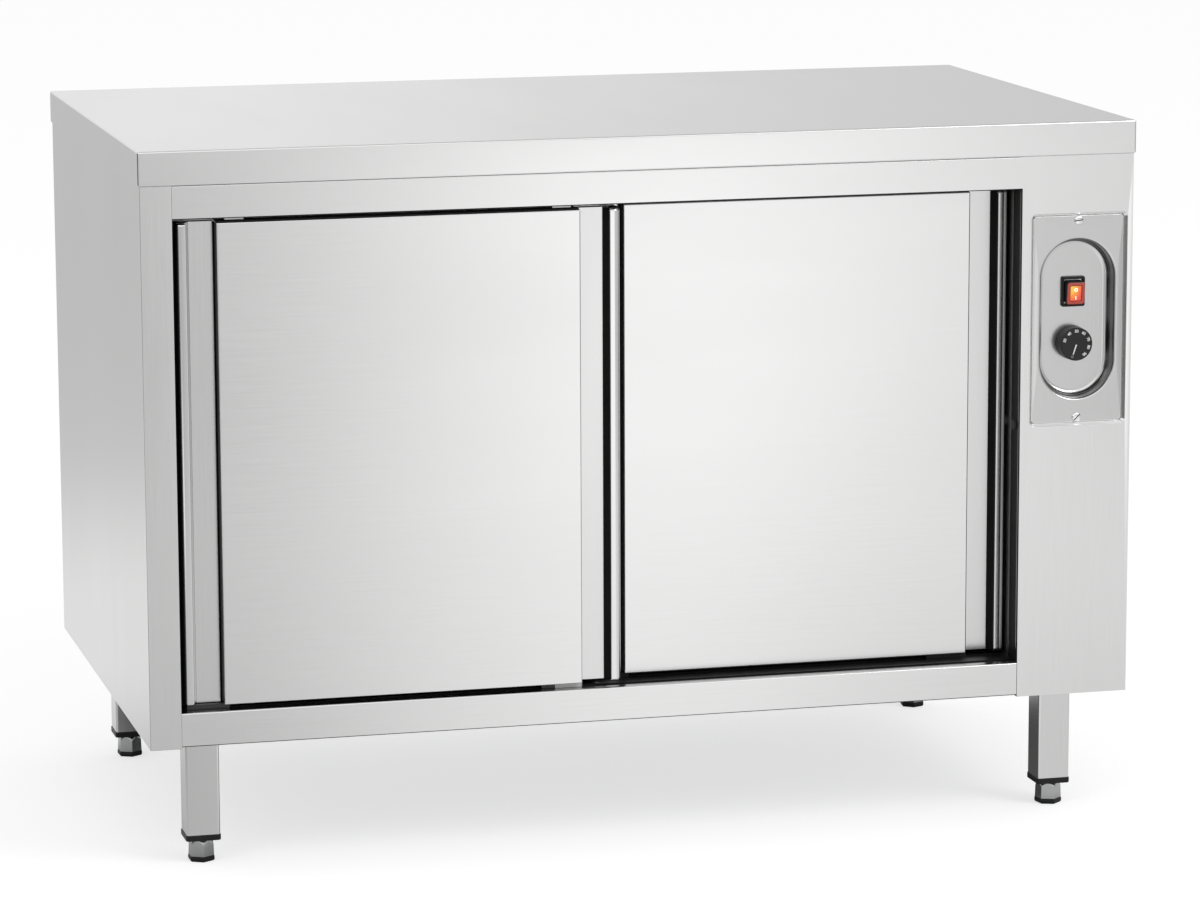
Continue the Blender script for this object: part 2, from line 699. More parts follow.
def inRecessSlope(c, n):
    # the sloping rim of the recess, but for its right side
    inside = abs(c.x - recess["x"]) < recess["halfWidth"] and abs(c.z - recess["z"]) < recess["halfHeight"]
    return inside and 0.2 < abs(n.y) < 0.97 and n.x > -0.3


jamb = {"x": body["openRight"], "near": 0.002, "shadeFrom": -0.3412, "shadeTo": -0.3126, "lip": 0.0009}


def shadeJamb(bm, size=jamb):
    # cuts the column's return into a lip, a shaded band and a second lip
    for y in (size["shadeFrom"] - size["lip"], size["shadeFrom"], size["shadeTo"],
              size["shadeTo"] + size["lip"]):
        faces = [f for f in bm.faces
                 if f.normal.x < -0.9 and abs(f.calc_center_median().x - size["x"]) < size["near"]]
        edges = {e for f in faces for e in f.edges}
        verts = {v for f in faces for v in f.verts}
        bmesh.ops.bisect_plane(bm, geom=[*faces, *edges, *verts], plane_co=(0, y, 0), plane_no=(0, 1, 0))


def inJambShade(c, n):
    if n.x > -0.9 or abs(c.x - jamb["x"]) > jamb["near"]:
        return False
    lips = (jamb["shadeFrom"] - jamb["lip"] / 2, jamb["shadeTo"] + jamb["lip"] / 2)
    return all(abs(c.y - y) > jamb["lip"] / 2 + touching for y in lips)


leftPanel = makePanel("side_panel_left", "leftPanel", "panelSteel")
paintFaces(leftPanel.data, lambda c, n: n.x > 0.6 and abs(c.x - body["openLeft"]) < jamb["near"])
makePanel("side_panel_right", "rightPanel", "panelSteel")
column = makePanel("control_column", "controlColumn", "panelSteel", extra=onRecess, prepare=shadeJamb)
paintFaces(column.data, inJambShade)
paintFaces(column.data, inRecessSlope, "brightSteel")
makePanel("back_panel", "backPanel", "panelSteel")
makePanel("mid_shelf", "middleShelf", "linerSteel")

rails = {"topOutline": [(-0.341, 0.7716), (-0.3474, 0.7716), (-0.3474, 0.8094), (-0.329, 0.8094)],
         "bottomOutline": [(-0.336, 0.1954), (-0.3474, 0.1954), (-0.3474, 0.1566), (-0.328, 0.1566)],
         "foldRadius": 0.0011, "seam": 0.0006, "foldShade": -0.342}


def makeRails(size):
    for name, outline, node, seam in (("topRail", "topOutline", "top_rail", 0),
                                      ("bottomRail", "bottomOutline", "bottom_rail", size["seam"])):
        run = (body["openRight"] - body["openLeft"] - seam, 0, 0)
        points = [(body["openLeft"], y, z) for y, z in size[outline]]
        mesh = foldedStrip(name, points, [0, size["foldRadius"], size["foldRadius"], 0], run, "railSteel",
                           body["sheet"])
        paintFaces(mesh, lambda c, n: n.z < -0.3 and c.y < size["foldShade"])
        newPiece(name, mesh, "cabinet", [node], weighted=True)


makeRails(rails)
print("worktop and body made")


# ---- doors ----

door = {"left": {"x": -0.558, "y": -0.342}, "right": {"x": -0.06975, "y": -0.308}, "width": 0.52525,
        "bottom": 0.202, "top": 0.768, "thick": 0.026, "sheet": 0.0012, "panelFold": 0.0018}
handle = {"beadWidth": 0.0134, "beadDepth": 0.01, "beadBack": 0.001, "outerRadius": 0.0083,
          "innerRadius": 0.0009, "beadEnd": 0.0034, "beadDull": 0.3, "fingerWidth": 0.0048,
          "fingerFrom": 0.0045, "stripEnd": 0.048, "stripDepth": 0.016, "stripReturn": 0.0008,
          "shortBottom": 0.001, "shortTop": 0.0024, "fold": 0.0011, "sideFrom": 0.006, "returnWidth": 0.009}


def cornerPath(corners, perCorner=8):
    # closed outline whose corners (x, y, radius) are rounded, walked in order
    points = []
    for k, (x, y, r) in enumerate(corners):
        here = Vector((x, y))
        before = (Vector(corners[k - 1][:2]) - here).normalized()
        after = (Vector(corners[(k + 1) % len(corners)][:2]) - here).normalized()
        centre = here + (before + after) * r
        points += [centre - after * r * math.cos(t) - before * r * math.sin(t)
                   for t in quarterTurn(perCorner)]
    return points


def makeBead(toWorld, z0, z1, size):
    # solid bar, well rounded on its outer side and crisp along the groove, with domed ends
    w, d, end, back = size["beadWidth"], size["beadDepth"], size["beadEnd"], size["beadBack"]
    outer, inner = size["outerRadius"], size["innerRadius"]
    outline = cornerPath([(0, 0, outer), (w, 0, inner), (w, d, back), (0, d, back)])
    steps = [(end * (1 - math.sin(t)), end * (1 - math.cos(t))) for t in quarterTurn(5)]
    levels = [(inset, z0 + rise) for inset, rise in steps]
    levels += [(inset, z1 - rise) for inset, rise in reversed(steps)]
    rings = []
    for inset, z in levels:
        shareX, shareY = (w - 2 * inset) / w, (d - 2 * inset) / d
        rings.append([toWorld(w / 2 + (p.x - w / 2) * shareX, d / 2 + (p.y - d / 2) * shareY, z)
                      for p in outline])
    bm = bmesh.new()
    loft(bm, rings, capStart=True, capEnd=True)
    return meshFrom(bm, "bead", "beadSteel")


def makeHandle(side, end, size):
    # a dark side, a sloping finger wall with its strip, and the bead, at the left or the right end of a door
    place, width = door[side], door["width"]
    z0, z1 = door["bottom"] + size["shortBottom"], door["top"] - size["shortTop"]
    half, fold = door["sheet"] / 2, size["fold"]
    w, u2 = size["beadWidth"], size["stripEnd"]
    u1, deep = w + size["fingerWidth"], size["stripDepth"] + half
    back = door["thick"] - door["sheet"] - half
    shadeFrom = place["y"] + size["stripDepth"] + fold

    def toWorld(u, v, z):
        return Vector((place["x"] + (u if end == "left" else width - u), place["y"] + v, z))

    def fromEdge(point):
        return abs(point.x - place["x"] - (0 if end == "left" else width))

    def folded(name, outline, radii):
        points = [toWorld(u, v, z0) for u, v in outline]
        return foldedStrip(name, points, radii, (0, 0, z1 - z0), "stripSteel", door["sheet"])

    flank = folded("handleSide", [(half, size["sideFrom"]), (half, back), (size["returnWidth"], back)],
                   [0, fold, 0])
    paintFaces(flank, lambda c, n: True)
    strip = folded("handleStrip", [(w - 2 * half, size["fingerFrom"]), (u1, deep), (u2 - half, deep),
                                   (u2 - half, back)], [0, fold, fold, 0])
    paintFaces(strip, lambda c, n: (n.x < -0.45 and fromEdge(c) < u1) or
               (fromEdge(c) > u2 - size["stripReturn"] and c.y > shadeFrom))
    bead = makeBead(toWorld, z0, z1, size)
    paintFaces(bead, lambda c, n: abs(n.x) > 0.8 and fromEdge(c) > w - size["beadBack"]
               and z0 + size["beadEnd"] < c.z < z1 - size["beadEnd"])
    if end == "left":
        paintFaces(bead, lambda c, n: n.x < -size["beadDull"], "drawnSteel")
    return [flank, strip, bead]


def makeHandles(side):
    name = side + "DoorHandles"
    mesh = joinMeshes(name, makeHandle(side, "left", handle) + makeHandle(side, "right", handle))
    newPiece(name, mesh, side + "_door", [f"door_{side}_handles"], weighted=True)


def makeDoor(side):
    bm = mergedCopy(f"door_{side}_panel")
    for vert in bm.verts:
        if vert.co.z > door["top"] - 2 * door["sheet"]:
            vert.co.z -= handle["shortTop"]
    roundEdges(bm, foldEdges(bm)[0], door["panelFold"], 3)
    mesh = meshFrom(bm, side + "DoorPanel", "doorSteel")
    paintFaces(mesh, lambda c, n: abs(n.x) > 0.95)
    newPiece(side + "DoorPanel", mesh, side + "_door", [f"door_{side}_panel"], weighted=True)
    makeHandles(side)


for side in ("left", "right"):
    makeDoor(side)
print("doors made")


# ---- rollers ----

roller = {"radius": 0.01, "width": 0.006, "gap": 0.002, "axle": 0.0025, "hub": 0.0058, "z": 0.7848,
          "groove": 0.0006, "relief": 0.0008, "tread": 0.0006, "pinEdge": 0.0004}


def makeRoller(side, key, x, y, size):
    r, w, hub = size["radius"], size["width"], size["hub"]
    relief, tread, edge, axle = size["relief"], size["tread"], size["pinEdge"], size["axle"]
    half = [(axle, 0), (hub, 0), (hub, relief), (r * 0.74, relief), (r * 0.76, 0), (r * 0.95, 0), (r, tread),
            (r, w * 0.4)]
    wheel = half + [(r - size["groove"], w * 0.5)] + [(rad, w - along) for rad, along in reversed(half)]
    bm = bmesh.new()
    for sign in (-1, 1):
        lathe(bm, [(rad, sign * (size["gap"] + along)) for rad, along in wheel], (x, y, size["z"]), count=40)
    wheels = meshFrom(bm, "wheels", "blackNylon")
    bm = bmesh.new()
    end = size["gap"] + w
    pin = [(0, -end), (axle * 0.8, -end), (axle, -end + edge), (axle, end - edge), (axle * 0.8, end),
           (0, end)]
    lathe(bm, pin, (x, y, size["z"]), count=24)
    pins = meshFrom(bm, "axle", "screwSteel")
    name = f"{side}Roller{key.upper()}"
    newPiece(name, joinMeshes(name, [wheels, pins]), f"{side}_roller_{key}",
             [f"roller_{side}_{key}"])


for side, lane in (("left", -0.329), ("right", -0.295)):
    for key, along in (("a", 0.07), ("b", 0.45525)):
        makeRoller(side, key, door[side]["x"] + along, lane, roller)


# ---- control plate, switch and knob ----

control = {"x": recess["x"], "z": recess["z"], "plateY": -0.3445, "floorY": -0.326, "plateWidth": 0.1137,
           "plateHeight": 0.2492, "plateCorner": 0.004, "bowlWidth": 0.092, "bowlHeight": 0.192,
           "rimRadius": 0.0034, "footRadius": 0.007, "wall": 0.001, "draft": 0.0012, "edge": 0.0004,
           "edgeRound": 0.0003, "wallFrom": 0.86}


def makeControlPlate(size):
    rings = []

    def ring(width, height, radius, y):
        rings.append([(size["x"] + u, y, size["z"] + v) for u, v in roundRect(width, height, radius, 20)])

    def bowlRing(out, y):
        # a stadium; its ends stay a hair short of half circles, so that no two points fall together
        width = bowlWidth + 2 * out
        ring(width, bowlHeight + 2 * out, width / 2 - touching, y)

    w, h, y0 = size["plateWidth"], size["plateHeight"], size["plateY"]
    edge, corner, bend = size["edge"], size["plateCorner"], size["edgeRound"]
    ring(w, h, corner, y0 + edge)
    ring(w - bend, h - bend, corner, y0 + edge * 0.3)
    ring(w - 2 * edge, h - 2 * edge, corner - edge / 2, y0)
    bowlWidth, bowlHeight, rim = size["bowlWidth"], size["bowlHeight"], size["rimRadius"]
    for t in quarterTurn(8):
        bowlRing(rim * (1 - math.sin(t)), y0 + rim * (1 - math.cos(t)))
    foot = size["footRadius"]
    for t in quarterTurn(8):
        bowlRing(-size["draft"] - foot * (1 - math.cos(t)), size["floorY"] - foot * (1 - math.sin(t)))
    bm = bmesh.new()
    loft(bm, rings, capEnd=True)
    mesh = meshFrom(bm, "controlPlate", "plateSteel")
    if sum(p.normal.y * p.area for p in mesh.polygons) > 0:
        mesh.flip_normals()
    # drawing the bowl dulls its wall, and the cut edge round the plate is bright
    paintFaces(mesh, lambda c, n: abs(n.y) < size["wallFrom"], "drawnSteel")
    paintFaces(mesh, lambda c, n: abs(c.x - size["x"]) > w / 2 - edge or abs(c.z - size["z"]) > h / 2 - edge,
               "brightSteel")
    obj = newPiece("controlPlate", mesh, "cabinet", ["control_plate"], sharpAngle=40)
    thick = obj.modifiers.new("wall", "SOLIDIFY")
    thick.thickness = size["wall"]
    thick.offset = -1
    weighNormals(obj)


makeControlPlate(control)

plateScrew = {"radius": 0.0055, "height": 0.0024, "slot": 0.0006, "slotDepth": 0.0011, "shank": 0.002,
              "length": 0.012, "gap": 0.238}
backScrew = {"radius": 0.0045, "height": 0.002, "slot": 0.0005, "slotDepth": 0.0009, "shank": 0.0021,
             "length": 0.0084, "aside": 0.585, "inset": 0.06, "perSide": 4}


def screwHead(name, size, cross):
    # pan head about the origin, its face towards -Y, cut by one slot or by two
    r, h, s = size["radius"], size["height"], size["slot"]
    shank, length = size["shank"], size["length"]
    bm = bmesh.new()
    lathe(bm, [(0, length), (shank * 0.7, length), (shank, length - 0.0008), (shank, 0), (r, 0),
               (r, -h * 0.3), (r * 0.94, -h * 0.62), (r * 0.8, -h * 0.86), (r * 0.55, -h * 0.97),
               (r * 0.3, -h), (0, -h)], (0, 0, 0), count=32)
    head = addObject(name, meshFrom(bm, name, "screwSteel"))
    reach, face, slotFloor = r * 1.2, -h * 1.5, -h + size["slotDepth"]
    bm = bmesh.new()
    addBox(bm, (-reach, face, -s), (reach, slotFloor, s))
    if cross:
        addBox(bm, (-s, face, -reach), (s, slotFloor, reach))
    cutter = addObject(name + "Slot", meshFrom(bm, name + "Slot", "screwSteel"))
    mod = head.modifiers.new("slot", "BOOLEAN")
    mod.object = cutter
    mod.use_self = cross
    mesh = builtMesh(head)
    bpy.data.objects.remove(cutter)
    head.modifiers.clear()
    head.data = mesh
    return head


def makePlateScrews(size):
    head = screwHead("plateScrewHead", size, False)
    points = [(control["x"], control["plateY"], control["z"] + side * size["gap"] / 2) for side in (-1, 1)]
    mesh = placeHeads("plateScrews", head, points, (0, 1, 0), -1.1, 4)
    slotFloor = control["plateY"] - size["height"] + size["slotDepth"]
    paintFaces(mesh, lambda c, n: n.y < -0.9 and abs(c.y - slotFloor) < 10 * touching)
    newPiece("plateScrews", mesh, "cabinet", ["control_screws"], weighted=True)


def makeBackScrews(size):
    head = screwHead("backScrewHead", size, True)
    head.data.transform(Matrix.Rotation(math.pi, 4, "Z"))
    low, high = body["bottom"] + size["inset"], body["top"] - size["inset"]
    rise = (high - low) / (size["perSide"] - 1)
    points = [(side * size["aside"], body["back"], low + k * rise)
              for side in (-1, 1) for k in range(size["perSide"])]
    mesh = placeHeads("backScrews", head, points, (0, 1, 0), 3.1, 11)
    newPiece("backScrews", mesh, "cabinet", ["back_screws"], weighted=True)


makePlateScrews(plateScrew)
makeBackScrews(backScrew)

switch = {"z": 0.6435, "bezelWidth": 0.0295, "bezelHeight": 0.0366, "bezelRadius": 0.0025,
          "bezelDepth": 0.004, "flange": 0.0017, "holeWidth": 0.0236, "holeHeight": 0.0294,
          "holeRadius": 0.0012, "well": 0.01, "backDepth": 0.026, "tabX": 0.007, "tabZ": 0.008,
          "tabHalf": (0.0004, 0.003), "tabOut": 0.009, "rockerWidth": 0.0228, "rockerHeight": 0.027,
          "rockerRadius": 0.003, "rockerOut": 0.013, "rockerIn": 0.006, "tilt": 6.0, "frame": 0.0038,
          "frameRadius": 0.0015, "lineWidth": 0.0007, "windowDepth": 0.0009, "markHeight": 0.0002,
          "offMark": {"z": 0.0046, "outer": 0.0022, "inner": 0.0013},
          "onMark": {"half": 0.00045, "from": -0.0074, "to": -0.0034}}


def makeSwitchBody(size):
    x, z, y = control["x"], size["z"], control["floorY"]
    w, h, r, d = size["bezelWidth"], size["bezelHeight"], size["bezelRadius"], size["bezelDepth"]
    hw, hh, hr, back = size["holeWidth"], size["holeHeight"], size["holeRadius"], size["backDepth"]
    inner = (w - 2 * size["flange"], h - 2 * size["flange"], 0.0006)

    def ring(w, h, r, depth):
        return [(x + u, y + depth, z + v) for u, v in roundRect(w, h, r, 5)]

    bm = bmesh.new()
    loft(bm, [ring(*inner, back), ring(*inner, -0.001), ring(*inner, 0), ring(w, h, r, 0),
              ring(w, h, r, -d + 0.0012), ring(w - 0.0007, h - 0.0007, r, -d + 0.0003),
              ring(w - 0.002, h - 0.002, r - 0.0004, -d), ring(hw + 0.0012, hh + 0.0012, hr + 0.0004, -d),
              ring(hw + 0.0002, hh + 0.0002, hr, -d + 0.0006), ring(hw, hh, hr, -d + 0.0016),
              ring(hw, hh, hr, size["well"])], capStart=True, capEnd=True)
    # four terminal tabs at the back
    halfX, halfZ = size["tabHalf"]
    for tabX in (x - size["tabX"], x + size["tabX"]):
        for tabZ in (z - size["tabZ"], z + size["tabZ"]):
            addBox(bm, (tabX - halfX, y + back - 0.0005, tabZ - halfZ),
                   (tabX + halfX, y + back + size["tabOut"], tabZ + halfZ))
    newPiece("switchBody", meshFrom(bm, "switchBody", "blackPlastic"), "cabinet",
             ["switch_body"], sharpAngle=28, weighted=True)


def rockerMarks(size, y):
    # a ring for off and a bar for on, printed on the window
    bm = bmesh.new()
    off, on, rise = size["offMark"], size["onMark"], size["markHeight"]
    loft(bm, [[(radius * math.cos(a), depth, off["z"] + radius * math.sin(a)) for a in anglesRound(28)]
              for radius, depth in ((off["outer"], y + rise), (off["outer"], y), (off["inner"], y),
                                    (off["inner"], y + rise))])
    addBox(bm, (-on["half"], y, on["from"]), (on["half"], y + rise, on["to"]))
    return meshFrom(bm, "rockerMarks", "glowMark")


def makeRocker(size):
    # frame, dark line and lit window, on one face that is tilted with its lower end pressed in
    w, h, r, out = size["rockerWidth"], size["rockerHeight"], size["rockerRadius"], -size["rockerOut"]
    fw, fh, fr = w - 2 * size["frame"], h - 2 * size["frame"], size["frameRadius"]
    ww, wh = fw - 2 * size["lineWidth"], fh - 2 * size["lineWidth"]
    sunk = out + size["windowDepth"]

    def lofted(name, material, rings, **caps):
        bm = bmesh.new()
        loft(bm, [[(u, depth, v) for u, v in roundRect(w, h, r, 6)] for w, h, r, depth in rings], **caps)
        return meshFrom(bm, name, material)

    rim = lofted("rockerFrame", "redFrame",
                 [(w, h, r, size["rockerIn"]), (w, h, r, out + 0.0014),
                  (w - 0.0006, h - 0.0006, r, out + 0.0005), (w - 0.0018, h - 0.0018, r - 0.0004, out),
                  (fw + 0.0006, fh + 0.0006, fr + 0.0002, out), (fw, fh, fr, out + 0.0003),
                  (fw, fh, fr, sunk)], capStart=True)
    paintFaces(rim, lambda c, n: c.y > sunk, "blackPlastic")
    line = lofted("rockerLine", "redLine", [(fw, fh, fr, sunk), (ww, wh, 0.001, sunk)])
    lens = lofted("rockerLens", "glowLens",
                  [(ww, wh, 0.001, sunk), (ww - 0.0006, wh - 0.0006, 0.0008, sunk - 0.0003),
                   (ww - 0.003, wh - 0.003, 0.0005, sunk - 0.0005)], capEnd=True)
    mesh = joinMeshes("rocker", [rim, line, lens, rockerMarks(size, sunk - 0.0006)])
    pivot = Vector((control["x"], control["floorY"], size["z"]))
    mesh.transform(Matrix.Translation(pivot) @ Matrix.Rotation(math.radians(size["tilt"]), 4, "X"))
    newPiece("rocker", mesh, "rocker", ["switch_rocker"], sharpAngle=28, weighted=True)


makeSwitchBody(switch)
makeRocker(switch)

knob = {"z": 0.5815, "foot": -0.3268, "height": 0.0165, "radius": 0.0205, "faceRadius": 0.0201,
        "edge": 0.0011, "dish": 0.0003, "numbers": range(30, 91, 10), "firstAngle": -71.5,
        "stepAngle": 35.3, "numberRadius": 0.0157, "numberSize": 0.0048, "numberHalf": 0.00004,
        "bold": 0.0001, "pointerAngle": 199.0, "pointerFrom": 0.0006, "pointerTo": 0.0132,
        "pointerHalf": (0.0008, 0.0006), "zeroRadius": 0.0158, "zeroRing": (0.0015, 0.0009),
        "zeroHeight": 0.00008}


def dialNumber(text, angle, centre, size):
    # a number that stands on the dial at an angle from its top
    curve = bpy.data.curves.new("dialNumber" + text, "FONT")
    curve.body = text
    curve.size = size["numberSize"]
    curve.align_x = "CENTER"
    curve.align_y = "CENTER"
    curve.extrude = size["numberHalf"]
    curve.offset = size["bold"]
    letter = addObject("dialNumber" + text, curve)
    mesh = builtMesh(letter)
    bpy.data.objects.remove(letter)
    onDial = Matrix.Translation(centre + Vector((0, -0.00003, 0))) @ Matrix.Rotation(math.pi / 2, 4, "X")
    outward = Matrix.Rotation(-angle, 4, "Z") @ Matrix.Translation((0, size["numberRadius"], 0))
    mesh.transform(onDial @ outward)
    mesh.materials.clear()
    mesh.materials.append(finish["printWhite"])
    return mesh


def pointerMarks(centre, size):
    # the pointer, and the small ring beyond it that marks off
    angle = math.radians(size["pointerAngle"])
    away = Vector((math.sin(angle), 0, math.cos(angle)))
    across = Vector((math.cos(angle), 0, -math.sin(angle)))
    nearHalf, farHalf = size["pointerHalf"]
    start, tip = size["pointerFrom"], size["pointerTo"]
    outline = [(-nearHalf, start), (nearHalf, start), (farHalf, tip), (-farHalf, tip)]
    bm = bmesh.new()
    loft(bm, [[centre + across * u + away * v + Vector((0, y, 0)) for u, v in outline]
              for y in (0.0001, -0.0001)], capStart=True, capEnd=True)
    pointer = meshFrom(bm, "pointer", "printWhite")
    bm = bmesh.new()
    middle = centre + away * size["zeroRadius"]
    (outer, inner), rise = size["zeroRing"], -size["zeroHeight"]
    loft(bm, [[middle + Vector((radius * math.cos(a), y, radius * math.sin(a))) for a in anglesRound(24)]
              for radius, y in ((outer, 0), (outer, rise), (inner, rise), (inner, 0))])
    return [pointer, meshFrom(bm, "offMark", "printGrey")]


def makeKnob(size):
    foot = Vector((control["x"], size["foot"], size["z"]))
    r, f, h, e = size["radius"], size["faceRadius"], size["height"], size["edge"]
    face = -h + size["dish"]
    profile = [(0, 0), (r - 0.0008, 0), (r - 0.0002, -0.0003), (r, -0.001), (r, -0.0035),
               (r - 0.0003, -0.0038), (r - 0.0003, -0.0043), (r - 0.0001, -0.0046)]
    profile += [(f - e * (1 - math.cos(t)), -h + e * (1 - math.sin(t))) for t in quarterTurn(6)]
    profile += [(f - e - 0.0006, -h), (f - e - 0.0009, face), (0, face)]
    bm = bmesh.new()
    lathe(bm, profile, foot, count=96)
    meshes = [meshFrom(bm, "knobBody", "knobPlastic")]
    centre = foot + Vector((0, face, 0))
    for k, number in enumerate(size["numbers"]):
        angle = math.radians(size["firstAngle"] + k * size["stepAngle"])
        meshes.append(dialNumber(str(number), angle, centre, size))
    meshes += pointerMarks(centre, size)
    newPiece("knobBody", joinMeshes("knobBody", meshes), "knob", ["thermostat_knob"],
             sharpAngle=35, weighted=True)


makeKnob(knob)
print("controls made")


# ---- legs, caps and feet ----

leg = {"x": 0.528, "y": 0.27, "side": 0.04, "wall": 0.0015, "corner": 0.003, "burr": 0.0002,
       "tubeEnd": 0.0345, "top": 0.165, "plate": 0.08, "plateCorner": 0.004, "plateTop": 0.168,
       "capFlange": 0.007, "capSide": 0.0416, "capCorner": 0.0035, "plug": 0.0366, "plugTop": 0.0595,
       "plugHole": (0.012, 0.0059)}
foot = {"top": 0.0272, "hexRadius": 0.016, "topShare": 0.95, "gliderTop": 0.006, "gliderRadius": 0.0165,
        "stud": 0.005, "studTop": 0.0772, "hole": 0.0005, "crown": 0.0124, "crownSlope": 0.55, "levels": 12,
        "edge": 0.0005, "turns": {"foot_front_left": 31.5, "foot_back_left": 33.0, "foot_front_right": 40.0,
                                  "foot_back_right": 22.0}}
legSpots = [(sx * leg["x"], sy * leg["y"]) for sx in (-1, 1) for sy in (-1, 1)]


def squareRing(spot, side, radius, z):
    return [(spot[0] + u, spot[1] + v, z) for u, v in roundRect(side, side, radius, 6)]


def makeLegTubes(size):
    bm = bmesh.new()
    s, c, burr = size["side"], size["corner"], size["burr"]
    inside, insideCorner = s - 2 * size["wall"], c - size["wall"]
    end, top, plate, corner = size["tubeEnd"], size["top"], size["plate"], size["plateCorner"]
    for at in legSpots:
        loft(bm, [squareRing(at, inside, insideCorner, top), squareRing(at, inside, insideCorner, end + burr),
                  squareRing(at, inside + 2 * burr, insideCorner, end), squareRing(at, s - 2 * burr, c, end),
                  squareRing(at, s, c, end + burr), squareRing(at, s, c, top)])
        loft(bm, [squareRing(at, plate, corner, top), squareRing(at, plate, corner, size["plateTop"])],
             capStart=True, capEnd=True)
    newPiece("legTubes", meshFrom(bm, "legTubes", "legSteel"), "cabinet", ["legs"],
             sharpAngle=40, weighted=True)


def makeTubeCaps(size):
    bm = bmesh.new()
    z0, z1, top = size["tubeEnd"] - size["capFlange"], size["tubeEnd"], size["plugTop"]
    w, r, p, hole = size["capSide"], size["capCorner"], size["plug"], size["plugHole"]
    profile = [(*hole, z0), (w - 0.002, r - 0.0006, z0), (w - 0.0004, r, z0 + 0.0004), (w, r, z0 + 0.0012),
               (w, r, z1 - 0.0006), (w - 0.0006, r, z1), (p, 0.0012, z1), (p, 0.0012, top - 0.001),
               (p - 0.002, 0.001, top), (*hole, top), (*hole, z0)]
    for at in legSpots:
        loft(bm, [squareRing(at, side, radius, z) for side, radius, z in profile])
    newPiece("tubeCaps", meshFrom(bm, "tubeCaps", "blackPlastic"), "cabinet", ["leg_caps"],
             sharpAngle=40, weighted=True)


def hexRadius(angle, radius):
    # distance to a hexagon's side, corners at 0, 60, 120 degrees and so on
    step = (angle % (math.pi / 3)) - math.pi / 6
    return radius * math.cos(math.pi / 6) / math.cos(step)


def makeFoot(name, x, y, size):
    turn = math.radians(size["turns"][name])

    def ring(radius, z, limit=1.0, hexed=True):
        points = []
        for a in anglesRound(72):
            r = min(hexRadius(a, radius) if hexed else radius, limit)
            points.append((x + r * math.cos(a + turn), y + r * math.sin(a + turn), z))
        return points

    def shaped(part, material, rings):
        bm = bmesh.new()
        loft(bm, rings, capStart=True, capEnd=True)
        return meshFrom(bm, name + part, material)

    top, low, edge = size["top"], size["gliderTop"] + 0.0002, size["edge"]
    big, small = size["hexRadius"], size["hexRadius"] * size["topShare"]
    rings = [ring(size["hole"], low, hexed=False), ring(big * 0.97, low), ring(big, low + edge)]
    for k in range(1, size["levels"] + 1):
        # the crown is turned off by a cone, so the flats end in arcs
        share = k / size["levels"]
        z = low + edge + (top - low - edge) * share
        rings.append(ring(big + (small - big) * share, z, size["crown"] + (top - z) * size["crownSlope"]))
    stud, studTop = size["stud"], size["studTop"]
    rings += [ring(radius, z, hexed=False) for radius, z in
              ((stud + 0.002, top), (stud, top), (stud, studTop - 0.001), (stud * 0.8, studTop),
               (size["hole"], studTop))]
    metal = shaped("Metal", "footMetal", rings)
    g, high = size["gliderRadius"], size["gliderTop"]
    black = shaped("Glider", "blackPlastic", [ring(g * 0.9, 0), ring(g * 0.985, 0.0012), ring(g, 0.0022),
                                              ring(g, high - 0.0006), ring(g * 0.985, high)])
    newPiece(name + "Whole", joinMeshes(name, [metal, black]), name, [name], sharpAngle=24)


makeLegTubes(leg)
makeTubeCaps(leg)
for name, spot in zip(("foot_front_left", "foot_back_left", "foot_front_right", "foot_back_right"), legSpots):
    makeFoot(name, *spot, foot)

bolt = {"radius": 0.0055, "head": 0.004, "nut": 0.005, "corner": 0.0007, "cornerShare": 0.88, "shank": 0.003,
        "past": 0.006, "in": 0.031, "under": leg["top"], "over": 0.1692}


def makeLegBolts(size):
    def ring(radius, z, limit=None):
        # round, or with a limit a hexagon whose corners are turned off to it
        points = []
        for a in anglesRound(36):
            r = min(hexRadius(a, radius), limit) if limit else radius
            points.append((r * math.cos(a), r * math.sin(a), z))
        return points

    r, s, corner = size["radius"], size["shank"], size["corner"]
    small, grip = r * size["cornerShare"], size["over"] - size["under"]
    nutTop, end = grip + size["nut"], grip + size["past"]
    bm = bmesh.new()
    loft(bm, [ring(r, -size["head"], small), ring(r, corner - size["head"], r), ring(r, 0, r), ring(s, 0),
              ring(s, grip), ring(r, grip, r), ring(r, nutTop - corner, r), ring(r, nutTop, small),
              ring(s, nutTop), ring(s, end), ring(s * 0.8, end + 0.0002)], capStart=True, capEnd=True)
    head = addObject("boltHead", meshFrom(bm, "boltHead", "screwSteel"))
    points = [(x + i * size["in"], y + j * size["in"], size["under"]) for x, y in legSpots
              for i in (-1, 1) for j in (-1, 1)]
    mesh = placeHeads("legBolts", head, points, (0, 0, 1), 1.0, 7)
    newPiece("legBolts", mesh, "cabinet", ["leg_bolts"], sharpAngle=24)


makeLegBolts(bolt)
print("legs and feet made")


# ---- pressed rims round the vents and the grille's holes ----

vent = {"start": (0.52825, 0.3468, 0.619), "pitch": 0.014, "rows": 9, "half": 0.038, "height": 0.006,
        "corner": 0.0008, "rim": 0.0008}
grille = {"centre": (0.4573, 0.06208, 0.436), "pitch": 0.012, "across": 9, "reach": 0.0505, "hole": 0.004,
          "rim": 0.0007}


def growRims(name, rimMesh, tree, values):
    shape = addObject(name + "Shape", rimMesh)
    mesh = grow(name, pointMesh(name + "Start", [(0, 0, 0)]), tree, {"Shape": shape, **values})
    bpy.data.objects.remove(shape)
    newPiece(name, mesh, "cabinet", weighted=True)


